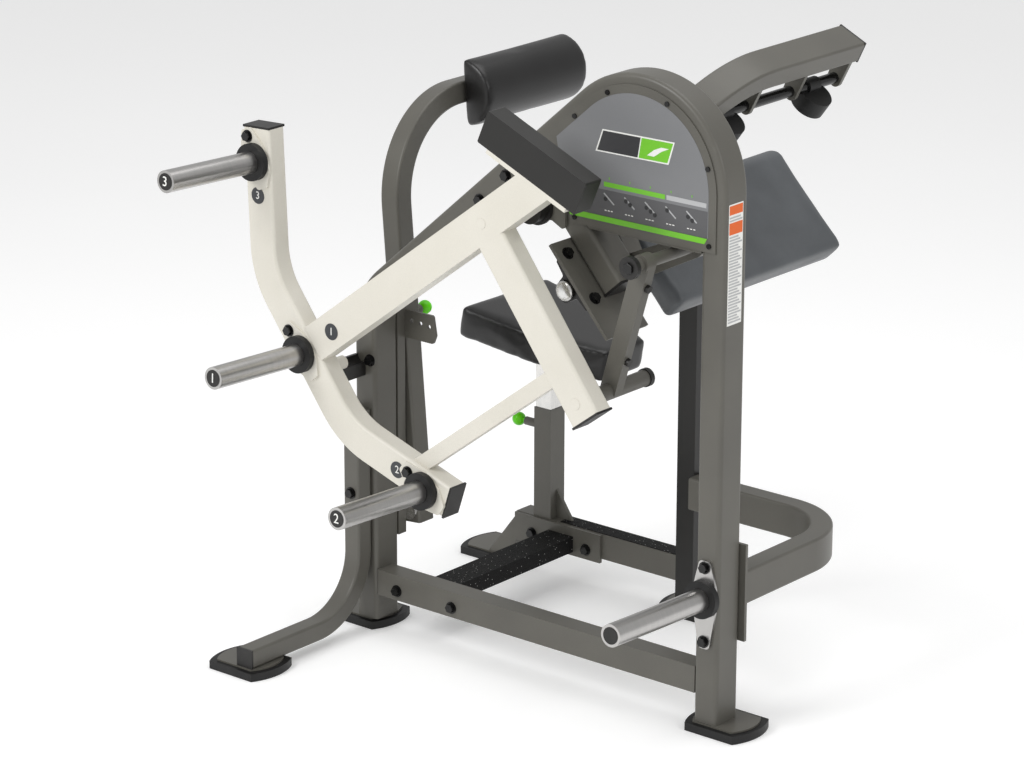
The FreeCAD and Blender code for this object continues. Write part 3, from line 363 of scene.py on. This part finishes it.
def inflate(obj, cap_mm):
    """Blows a pad up a little as cloth over foam, caps how far it moves, then smooths."""
    remesh = obj.modifiers.new("remesh", "REMESH")
    remesh.mode = "VOXEL"
    remesh.voxel_size = PAD_VOXEL
    bpy.context.view_layer.objects.active = obj
    with bpy.context.temp_override(object=obj, active_object=obj, selected_objects=[obj]):
        bpy.ops.object.modifier_apply(modifier="remesh")
    rest = [v.co.copy() for v in obj.data.vertices]
    cloth = obj.modifiers.new("cloth", "CLOTH")
    cloth.settings.use_pressure = True
    cloth.settings.uniform_pressure_force = PAD_PRESSURE
    cloth.settings.effector_weights.gravity = 0.0
    cloth.settings.tension_stiffness = 40
    cloth.settings.compression_stiffness = 40
    cloth.settings.bending_stiffness = 6
    cloth.point_cache.frame_start = 1
    cloth.point_cache.frame_end = SIM_FRAMES
    for f in range(1, SIM_FRAMES + 1):
        bpy.context.scene.frame_set(f)
    dg = bpy.context.evaluated_depsgraph_get()
    moved = [v.co.copy() for v in obj.evaluated_get(dg).data.vertices]
    obj.modifiers.remove(cloth)
    for v, a, b in zip(obj.data.vertices, rest, moved):
        d = b - a
        if d.length > cap_mm / 1000.0:
            d = d.normalized() * cap_mm / 1000.0
        v.co = a + d
    bpy.context.scene.frame_set(1)
    bm = bmesh.new()
    bm.from_mesh(obj.data)
    for i in range(SMOOTH_PASSES):
        bmesh.ops.smooth_vert(bm, verts=bm.verts, factor=0.5, use_axis_x=True, use_axis_y=True,
                              use_axis_z=True)
    bm.to_mesh(obj.data)
    bm.free()


def soft_finish(obj):
    sub = obj.modifiers.new("smooth", "SUBSURF")
    sub.levels = 1
    sub.render_levels = 1
    obj.data.shade_smooth()


def pad_from(name, node, material, cap_mm):
    """A cushion grown from its CAD solid: shrunk, rounded and blown up."""
    src = frame["nodes"][node]
    bm = bmesh.new()
    bm.from_mesh(src.data)
    bmesh.ops.remove_doubles(bm, verts=bm.verts, dist=1e-5)
    bmesh.ops.dissolve_limit(bm, angle_limit=math.radians(4), verts=bm.verts, edges=bm.edges)
    lo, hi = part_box(node)
    mid = (lo + hi) / 2
    ext = hi - lo
    factor = Vector([1 - 2 * PAD_SHRINK / e for e in ext])
    bmesh.ops.translate(bm, verts=bm.verts, vec=-mid)
    bmesh.ops.scale(bm, verts=bm.verts, vec=factor)
    bmesh.ops.translate(bm, verts=bm.verts, vec=mid)
    sharp = [e for e in bm.edges if len(e.link_faces) == 2 and e.calc_face_angle() > PAD_SHARP]
    bmesh.ops.bevel(bm, geom=sharp, offset=PAD_BEVEL, segments=4, profile=0.5, affect="EDGES",
                    material=-1, clamp_overlap=True)
    obj = make_object(name, bm, material, src["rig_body"])
    inflate(obj, cap_mm)
    soft_finish(obj)
    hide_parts(node)


# ------------------------------------------------------------------ sizes a user may change
class MachineSettings(bpy.types.PropertyGroup):
    disc_radius: FloatProperty(name="Number disc radius", default=0.0185, unit="LENGTH",
                               description="Radius of the number discs by the weight horns")
    seat_swell: FloatProperty(name="Pad swell", default=2.5,
                              description="How far the covers may swell, in millimetres")
    floor_colour: FloatVectorProperty(name="Floor colour", default=(0.93, 0.93, 0.93),
                                      subtype="COLOR", description="Colour of the studio floor")


def settings():
    return bpy.context.scene.arm_machine


# ------------------------------------------------------------------ operators
class ARM_OT_finishes(bpy.types.Operator):
    """Gives every carried-over part its finish"""
    bl_idname = "arm_machine.finishes"
    bl_label = "Finishes"

    def execute(self, context):
        for name, obj in frame["nodes"].items():
            obj.data.materials.clear()
            obj.data.materials.append(NODE_FINISH[name])
            obj.data.shade_smooth()
            obj.data.set_sharp_from_angle(angle=math.radians(32))
        return {"FINISHED"}


class ARM_OT_pads(bpy.types.Operator):
    """Makes the seat, backrest and arm cushions"""
    bl_idname = "arm_machine.pads"
    bl_label = "Pads"

    def execute(self, context):
        swell = settings().seat_swell
        pad_from("seat_cushion", "seat_pad", VINYL_BLACK, swell)
        pad_from("back_cushion", "back_pad", VINYL_BLACK, swell)
        pad_from("arm_cushion", "arm_pad", VINYL_GREY, swell)
        return {"FINISHED"}


class ARM_OT_panel_print(bpy.types.Operator):
    """Lays the printed areas on the information panel"""
    bl_idname = "arm_machine.panel_print"
    bl_label = "Panel print"

    def execute(self, context):
        lo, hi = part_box("info_panel")
        y = lo.y - 0.0001
        cx, cz, r = 0.313, 1.167, 0.186
        end = math.radians(131)
        arc = [(cx + r * math.cos(end * i / 40), cz + r * math.sin(end * i / 40))
               for i in range(41)]
        slope = Vector((-0.7547, -0.6561))
        low = Vector(arc[-1]) + slope * 0.118
        grey = [(cx + r, 1.082)] + arc + [tuple(low), (0.116, 1.150), (0.145, 1.082)]
        xz_layer("panel_field", [grey], y, PRINT_GREY)
        y -= INK
        xz_layer("panel_dark_band", [[(0.125, 1.138), (0.497, 1.138), (0.497, 1.082),
                                      (0.146, 1.082)]], y, PRINT_DARK)
        xz_layer("panel_low_bar", [[(0.134, 1.081), (0.497, 1.081), (0.490, 1.069),
                                    (0.140, 1.069)]], y, PRINT_GREEN)
        xz_layer("panel_top_bar", [rect(0.229, 1.145, 0.388, 1.155)], y, PRINT_GREEN)
        xz_layer("panel_top_bar_pale", [rect(0.392, 1.145, 0.494, 1.155)], y, PRINT_PALE)
        marks = []
        levers = []
        dots = []
        dashes = []
        lean = math.radians(-38)
        c, s = math.cos(lean), math.sin(lean)
        for i in range(5):
            x = 0.243 + 0.0535 * i
            marks.append(rect(x - 0.001, 1.161, x + 0.001, 1.166))
            bar = [(-0.017, -0.0015), (0.017, -0.0015), (0.017, 0.0015), (-0.017, 0.0015)]
            levers.append([(x + c * u - s * v, 1.120 + s * u + c * v) for u, v in bar])
            for k in range(1 + (i % 3)):
                px = x - 0.009 + 0.011 * k
                pz = 1.119 - 0.006 * k + 0.004 * (i % 2)
                dots.append([(px + 0.0048 * math.cos(t * math.pi / 6),
                              pz + 0.0048 * math.sin(t * math.pi / 6)) for t in range(12)])
            for k in range(3):
                dx = x - 0.011 + 0.008 * k
                dashes.append(rect(dx, 1.0935, dx + 0.005, 1.0955))
        xz_layer("panel_marks", marks, y, PRINT_GREEN)
        xz_layer("panel_levers", levers, y - INK, PRINT_PALE)
        xz_layer("panel_dots", dots, y - 2 * INK, PRINT_BLACK)
        xz_layer("panel_dashes", dashes, y - INK, PRINT_WHITE)
        plate = [(0.206, 1.217), (0.396, 1.219), (0.411, 1.268), (0.224, 1.266)]
        xz_layer("panel_badge_edge", [plate], y, PRINT_WHITE)
        left = [(0.211, 1.220), (0.316, 1.221), (0.3235, 1.264), (0.2265, 1.263)]
        right = [(0.319, 1.221), (0.393, 1.222), (0.407, 1.265), (0.3265, 1.264)]
        xz_layer("panel_badge_dark", [left], y - INK, PRINT_BADGE)
        xz_layer("panel_badge_green", [right], y - INK, PRINT_GREEN)
        wave = [(0.341, 1.230), (0.359, 1.230), (0.379, 1.244), (0.397, 1.252),
                (0.377, 1.252), (0.359, 1.244)]
        xz_layer("panel_badge_stripe", [wave], y - 2 * INK, PRINT_WHITE)
        return {"FINISHED"}


class ARM_OT_side_label(bpy.types.Operator):
    """Sticks a plain label on the right upright"""
    bl_idname = "arm_machine.side_label"
    bl_label = "Side label"

    def execute(self, context):
        x = 0.5401
        step = Vector((INK, 0, 0))

        def layer(name, boxes, lift, material):
            bm = bmesh.new()
            for y0, z0, y1, z1 in boxes:
                sheet_bm(bm, [(x + lift, y0, z0), (x + lift, y1, z0), (x + lift, y1, z1),
                              (x + lift, y0, z1)], step)
            make_object(name, bm, material, "frame", smooth=False)

        layer("label_card", [(-0.158, 0.900, -0.110, 1.156)], 0.0, PRINT_WHITE)
        layer("label_blocks", [(-0.156, 1.134, -0.112, 1.153), (-0.156, 1.092, -0.112, 1.117)],
              INK, PRINT_ORANGE)
        lines = []
        for low, count in ((0.905, 30), (1.120, 2)):
            for i in range(count):
                z = low + 0.0062 * i
                lines.append((-0.155, z, -0.113 - 0.006 * (i % 3), z + 0.0032))
        layer("label_lines", lines, INK, PRINT_PALE)
        return {"FINISHED"}


class ARM_OT_numbers(bpy.types.Operator):
    """Adds the number discs beside the weight horns and on their ends"""
    bl_idname = "arm_machine.numbers"
    bl_label = "Numbers"

    def execute(self, context):
        r = settings().disc_radius
        face_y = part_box("lever_arc_tube")[0].y
        for word, x, z in (("3", -0.574, 1.022), ("1", -0.364, 0.756), ("2", -0.178, 0.484)):
            bm = bmesh.new()
            bmesh.ops.create_circle(bm, cap_ends=True, segments=40, radius=r,
                                    matrix=Matrix.Translation((x, face_y - 0.0002, z))
                                    @ Matrix.Rotation(math.radians(90), 4, "X"))
            out = bmesh.ops.extrude_face_region(bm, geom=bm.faces[:])
            moved = [g for g in out["geom"] if isinstance(g, bmesh.types.BMVert)]
            bmesh.ops.translate(bm, verts=moved, vec=(0, -0.0005, 0))
            make_object("number_disc_" + word, bm, DISC_GREY, "loading_lever", smooth=False)
            place = Matrix.Translation((x, face_y - 0.0010, z)) @ Matrix.Rotation(
                math.radians(90), 4, "X")
            text_mesh("number_" + word, word, 0.024, place, PRINT_WHITE, "loading_lever")
        for word, x, z in (("3", -0.576, 1.099), ("1", -0.449, 0.691), ("2", -0.100, 0.457)):
            axis = Vector((0, -math.cos(HORN_TILT), math.sin(HORN_TILT)))
            tip = Vector((x, -0.368, z)) + axis * HORN_RUN
            turn = Matrix.Rotation(math.radians(90) - HORN_TILT, 4, "X")
            place = Matrix.Translation(tip) @ turn
            text_mesh("horn_number_" + word, word, 0.030, place, PRINT_WHITE, "loading_lever")
        return {"FINISHED"}


class ARM_OT_details(bpy.types.Operator):
    """Adds the anti-slip tape, weld plugs, dome nut and link bolt end"""
    bl_idname = "arm_machine.details"
    bl_label = "Details"

    def execute(self, context):
        bm = bmesh.new()
        lo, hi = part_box("spine_bar")
        sheet_bm(bm, [(-0.296, lo.y + 0.003, 0.1422), (0.040, lo.y + 0.003, 0.1422),
                      (0.040, hi.y - 0.003, 0.1422), (-0.296, hi.y - 0.003, 0.1422)],
                 Vector((0, 0, 0.0012)))
        make_object("spine_grip_tape", bm, GRIT, "frame", smooth=False)
        face_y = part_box("lever_arc_tube")[0].y
        for i, (x, z) in enumerate((LEVER_PIVOT, LINK_LOW_PIN)):
            bm = bmesh.new()
            bmesh.ops.create_cone(bm, cap_ends=True, segments=40, radius1=0.0125,
                                  radius2=0.0115, depth=0.0014,
                                  matrix=Matrix.Translation((x, face_y - 0.0006, z))
                                  @ Matrix.Rotation(math.radians(90), 4, "X"))
            make_object("weld_plug_%d" % (i + 1), bm, COAT_CREAM, "loading_lever", 0.0004)
        self.shaft_dome()
        x, z = LINK_TOP_PIN
        self.hex_end("link_hex", Vector((x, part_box("link_caps")[0].y, z)), 0.013, "link")
        return {"FINISHED"}


    @staticmethod
    def shaft_dome():
        """Chromed dome nut on the front end of the arm shaft."""
        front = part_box("arm_shaft")[0].y
        bm = bmesh.new()
        x, z = ARM_SHAFT
        shape = Matrix.Translation((x, front, z)) @ Matrix.Diagonal((1, 0.42, 1, 1))
        bmesh.ops.create_uvsphere(bm, u_segments=48, v_segments=24, radius=0.022, matrix=shape)
        cut = bmesh.ops.bisect_plane(bm, geom=bm.verts[:] + bm.edges[:] + bm.faces[:],
                                     plane_co=(0, front, 0), plane_no=(0, 1, 0), clear_outer=True)
        rim = [g for g in cut["geom_cut"] if isinstance(g, bmesh.types.BMEdge)]
        out = bmesh.ops.extrude_edge_only(bm, edges=rim)
        moved = [g for g in out["geom"] if isinstance(g, bmesh.types.BMVert)]
        bmesh.ops.translate(bm, verts=moved, vec=(0, 0.004, 0))
        bmesh.ops.holes_fill(bm, edges=bm.edges)
        make_object("arm_shaft_dome", bm, CHROME, "user_arm")

    @staticmethod
    def hex_end(name, centre, radius, body):
        """Hexagon bolt end standing on a cap."""
        bm = bmesh.new()
        bmesh.ops.create_cone(bm, cap_ends=True, segments=6, radius1=radius, radius2=radius,
                              depth=0.005,
                              matrix=Matrix.Translation(centre - Vector((0, 0.0025, 0)))
                              @ Matrix.Rotation(math.radians(90), 4, "X"))
        make_object(name, bm, OXIDE, body, 0.0006, smooth=False)


class ARM_OT_stage(bpy.types.Operator):
    """Sets the floor, the light and the camera"""
    bl_idname = "arm_machine.stage"
    bl_label = "Stage"

    def execute(self, context):
        scene = context.scene
        bm = bmesh.new()
        bmesh.ops.create_grid(bm, x_segments=1, y_segments=1, size=14.0,
                              matrix=Matrix.Translation((0, 0, -0.0005)))
        mesh = bpy.data.meshes.new("floor")
        bm.to_mesh(mesh)
        bm.free()
        floor = bpy.data.objects.new("floor", mesh)
        scene.collection.objects.link(floor)
        mat, tree, shader = new_material("matt_studio_floor", Roughness=0.9,
                                         Emission_Color=(1, 1, 1, 1), Emission_Strength=0.18)
        co = coords(tree)
        cloud = put(tree, "ShaderNodeTexNoise", {"Scale": 0.6}, {"Vector": co})
        c = settings().floor_colour
        tone = ramp(tree, cloud.outputs["Fac"], [(0.3, (c[0] * 0.98, c[1] * 0.98, c[2] * 0.98, 1)),
                                                 (0.7, (*c, 1))])
        tree.links.new(tone, shader.inputs["Base Color"])
        mesh.materials.append(mat)

        world = bpy.data.worlds.new("studio") if scene.world is None else scene.world
        scene.world = world
        world.use_nodes = True
        bg = world.node_tree.nodes["Background"]
        bg.inputs["Color"].default_value = (1, 1, 1, 1)
        bg.inputs["Strength"].default_value = 0.60
        for name, spot, size, power in (
                ("key", (-1.2, -4.2, 3.8), 2.2, 125.0),
                ("side", (4.6, -0.6, 2.8), 2.0, 34.0),
                ("top", (0.4, 0.8, 4.6), 3.0, 56.0)):
            lamp = bpy.data.lights.new(name, "AREA")
            lamp.size = size
            lamp.energy = power
            obj = bpy.data.objects.new(name, lamp)
            obj.location = spot
            aim = Vector((0, 0, 0.7)) - Vector(spot)
            obj.rotation_euler = aim.to_track_quat("-Z", "Y").to_euler()
            scene.collection.objects.link(obj)

        cam = bpy.data.cameras.new("camera")
        cam.lens = 139.85
        cam.sensor_width = 36.0
        cam.clip_end = 100.0
        obj = bpy.data.objects.new("camera", cam)
        obj.location = (5.1558, -6.3850, 3.3000)
        az, el, roll = math.radians(39.78), math.radians(18.06), math.radians(0.134)
        look = Vector((-math.sin(az) * math.cos(el), math.cos(az) * math.cos(el), -math.sin(el)))
        turn = look.to_track_quat("-Z", "Y").to_matrix().to_4x4()
        obj.rotation_euler = (turn @ Matrix.Rotation(roll, 4, "Z")).to_euler()
        scene.collection.objects.link(obj)
        scene.camera = obj
        scene.view_settings.view_transform = "Standard"
        return {"FINISHED"}


OPERATORS = (ARM_OT_finishes, ARM_OT_pads, ARM_OT_panel_print, ARM_OT_side_label,
             ARM_OT_numbers, ARM_OT_details, ARM_OT_stage)


class ARM_PT_panel(bpy.types.Panel):
    """Lists the steps that dress the machine"""
    bl_label = "Arm machine"
    bl_idname = "ARM_PT_panel"
    bl_space_type = "VIEW_3D"
    bl_region_type = "UI"
    bl_category = "Arm machine"

    def draw(self, context):
        for prop in ("disc_radius", "seat_swell", "floor_colour"):
            self.layout.prop(context.scene.arm_machine, prop)
        for op in OPERATORS:
            self.layout.operator(op.bl_idname)


CLASSES = (MachineSettings, *OPERATORS, ARM_PT_panel)


def register():
    for cls in CLASSES:
        bpy.utils.register_class(cls)
    bpy.types.Scene.arm_machine = PointerProperty(type=MachineSettings)


def unregister():
    del bpy.types.Scene.arm_machine
    for cls in reversed(CLASSES):
        bpy.utils.unregister_class(cls)


def main():
    register()
    for op in OPERATORS:
        name = op.bl_idname.split(".")[1]
        getattr(bpy.ops.arm_machine, name)()


if __name__ == "__main__":
    main()
